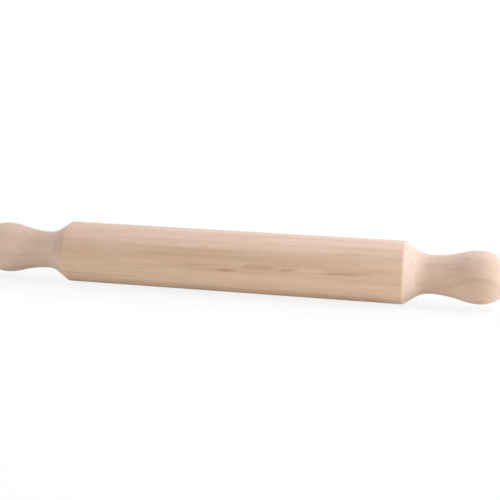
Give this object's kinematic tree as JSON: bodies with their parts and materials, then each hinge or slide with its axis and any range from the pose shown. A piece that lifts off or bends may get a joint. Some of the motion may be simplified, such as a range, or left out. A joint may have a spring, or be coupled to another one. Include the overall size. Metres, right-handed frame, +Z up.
{
  "type": "rolling pin",
  "caption": "Wooden rolling pin with a straight round barrel, conical shoulders and fixed turned handles with a neck and a rounded bulb.",
  "frame": {"origin": "middle of the barrel, on the pin's axis", "axes": "+X along the pin's axis from the left handle to the right handle, +Z up, away from the surface that the barrel lies on"},
  "size_m": [0.4, 0.045, 0.045],
  "materials": {
    "barrel_wood": "plain sanded beech, matte, with fine grain along the pin",
    "handle_wood": "plain sanded beech, matte, smoothed by handling"
  },
  "bodies": {
    "root": {"barrel": "barrel_wood", "left_handle": "handle_wood", "right_handle": "handle_wood"}
  },
  "joints": []
}
